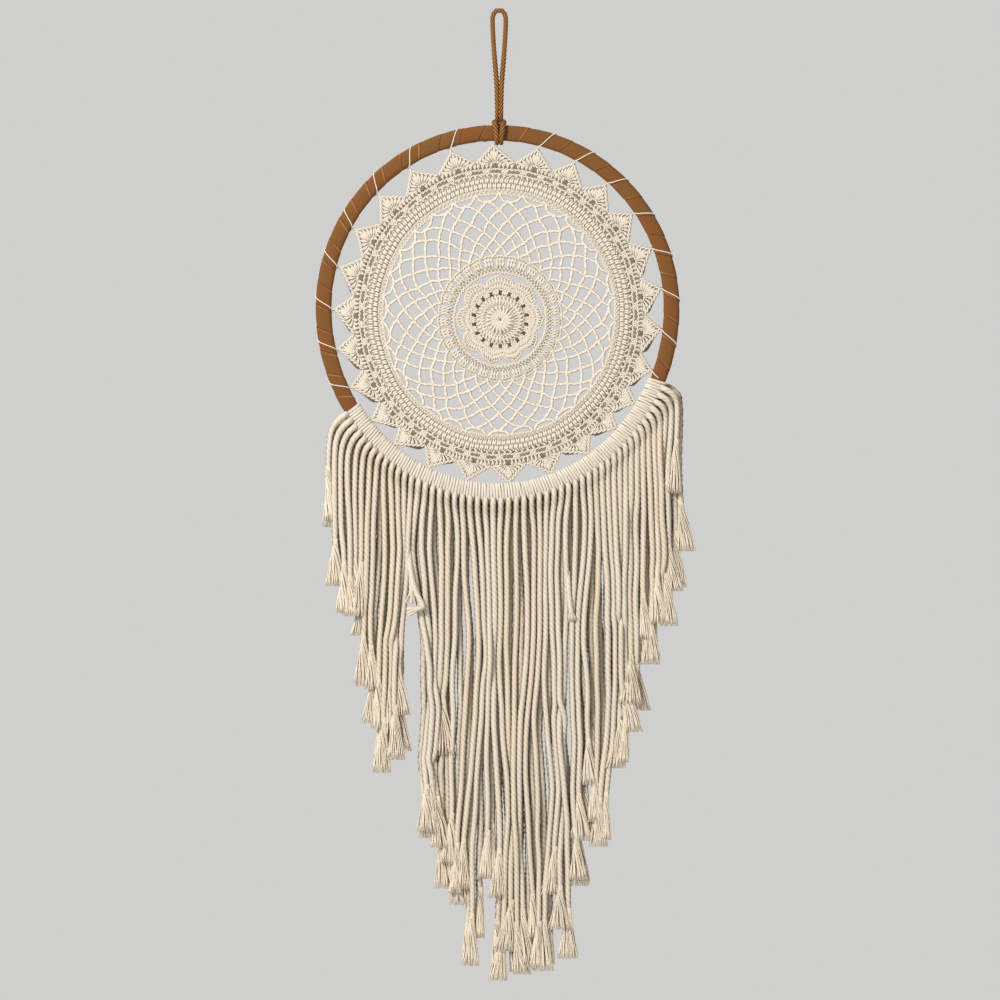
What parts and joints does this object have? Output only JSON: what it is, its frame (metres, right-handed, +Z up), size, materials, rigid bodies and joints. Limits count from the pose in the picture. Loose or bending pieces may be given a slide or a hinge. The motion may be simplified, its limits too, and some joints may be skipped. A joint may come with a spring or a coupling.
{
  "type": "macrame wall hanging on a hoop",
  "caption": "Round hoop bound in suede with a crochet doily laced inside it and a stepped fringe of knotted cotton cords below, hung by a cord loop.",
  "frame": {"origin": "inside top of the hanging loop, where the nail or hook bears", "axes": "+Z up, +X to the right as seen from the front, the front faces -Y and the wall is at +Y"},
  "size_m": [0.308, 0.0156, 0.8047],
  "materials": {
    "suede": "matte brown suede lace",
    "loop_cord": "twisted brown cord with a slight sheen",
    "crochet": "cream crochet cotton, matte",
    "cotton": "natural twisted cotton cord, matte"
  },
  "bodies": {
    "root": {"hoop": "suede", "hanging_loop": "loop_cord", "doily": "crochet", "lacing_left": "crochet", "lacing_right": "crochet", "fringe": "cotton"}
  },
  "joints": []
}
